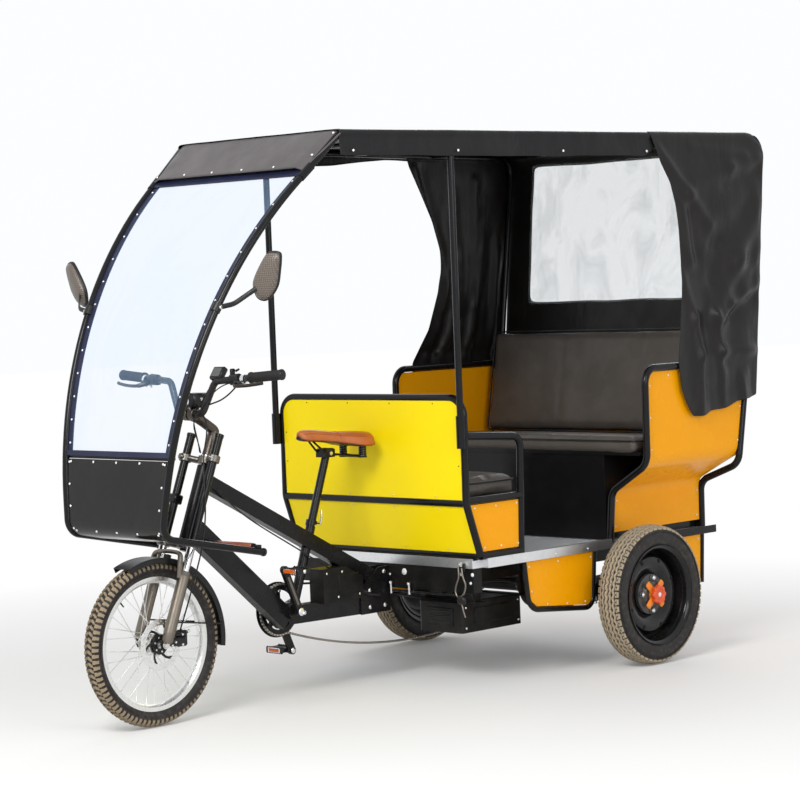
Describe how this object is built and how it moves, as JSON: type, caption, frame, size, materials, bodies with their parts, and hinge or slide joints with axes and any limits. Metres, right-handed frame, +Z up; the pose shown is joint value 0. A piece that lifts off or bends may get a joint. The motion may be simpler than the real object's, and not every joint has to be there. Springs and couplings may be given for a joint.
{
  "type": "pedicab tricycle",
  "caption": "Three-wheeled passenger cycle with a canopy roof, a rear bench, a rear-facing jump seat, a curved clear windscreen, a steered spoked front wheel and a pedal drive.",
  "frame": {"origin": "middle of the bounding box's footprint, on the ground", "axes": "+X forward, +Y to the rider's left, +Z up"},
  "size_m": [2.685, 1.23, 1.831],
  "materials": {
    "black_paint": "gloss",
    "yellow_sheet": "gloss",
    "amber_sheet": "gloss",
    "aluminium_trim": "satin",
    "black_board": "gloss",
    "seat_vinyl": "satin",
    "black_cloth": "matte",
    "clear_film": "gloss",
    "black_vinyl": "gloss",
    "black_plastic": "satin",
    "tan_leather": "satin",
    "chain_steel": "satin",
    "red_lens": "gloss",
    "fork_alloy": "satin",
    "tyre_rubber": "matte",
    "rim_alloy": "satin",
    "rim_black": "gloss"
  },
  "bodies": {
    "vehicle": {"main_frame": "black_paint", "chassis": "black_paint", "rear_axle": "black_paint", "power_boxes": "black_paint", "floor": "aluminium_trim", "cabin_front": "black_paint", "cabin_side_left": "black_paint", "cabin_side_right": "black_paint", "cabin_rear": "black_paint", "front_panels": "yellow_sheet", "side_panels": "amber_sheet", "rear_panels": "amber_sheet", "rear_wall": "amber_sheet", "seat_boxes": "black_board", "jump_cushion": "seat_vinyl", "bench_cushion": "seat_vinyl", "bench_backrest": "seat_vinyl", "roof_frame": "black_paint", "canopy": "black_cloth", "rear_curtain": "black_cloth", "rear_window": "clear_film", "curtain_left": "black_cloth", "curtain_right": "black_cloth", "windshield_frame": "black_paint", "windshield_film": "clear_film", "apron": "black_vinyl", "mirrors": "black_plastic", "saddle": "tan_leather", "seatpost": "black_paint", "chain": "chain_steel", "tail_lamps": "red_lens"},
    "steering": {"fork": "fork_alloy", "handlebar": "black_plastic", "headlight": "black_plastic", "front_fender": "black_plastic", "brake_cable": "black_plastic"},
    "front_wheel": {"front_tyre": "tyre_rubber", "front_rim": "rim_alloy"},
    "rear_wheel_left": {"rear_tyre_left": "tyre_rubber", "rear_rim_left": "rim_black"},
    "rear_wheel_right": {"rear_tyre_right": "tyre_rubber", "rear_rim_right": "rim_black"},
    "crank": {"crankset": "black_paint"},
    "pedal_left": {"pedal_left": "black_plastic"},
    "pedal_right": {"pedal_right": "black_plastic"}
  },
  "joints": [
    {"name": "steering_turn", "type": "hinge", "parent": "vehicle", "child": "steering", "pos_m": [0.80294, 0, 0.87872], "axis": [-0.373, 0, 0.9278], "range_deg": [-35, 35]},
    {"name": "front_wheel_spin", "type": "hinge", "parent": "steering", "child": "front_wheel", "pos_m": [1.085, 0, 0.2575], "axis": [0, 1, 0], "continuous": true},
    {"name": "rear_wheel_left_spin", "type": "hinge", "parent": "vehicle", "child": "rear_wheel_left", "pos_m": [-0.681, 0.551, 0.24], "axis": [0, 1, 0], "continuous": true},
    {"name": "rear_wheel_right_spin", "type": "hinge", "parent": "vehicle", "child": "rear_wheel_right", "pos_m": [-0.681, -0.551, 0.24], "axis": [0, 1, 0], "continuous": true},
    {"name": "crank_spin", "type": "hinge", "parent": "vehicle", "child": "crank", "pos_m": [0.509, 0, 0.291], "axis": [0, 1, 0], "continuous": true},
    {"name": "pedal_left_spin", "type": "hinge", "parent": "crank", "child": "pedal_left", "pos_m": [0.56956, 0.111, 0.43368], "axis": [0, 1, 0], "continuous": true},
    {"name": "pedal_right_spin", "type": "hinge", "parent": "crank", "child": "pedal_right", "pos_m": [0.44844, -0.111, 0.14832], "axis": [0, 1, 0], "continuous": true}
  ]
}
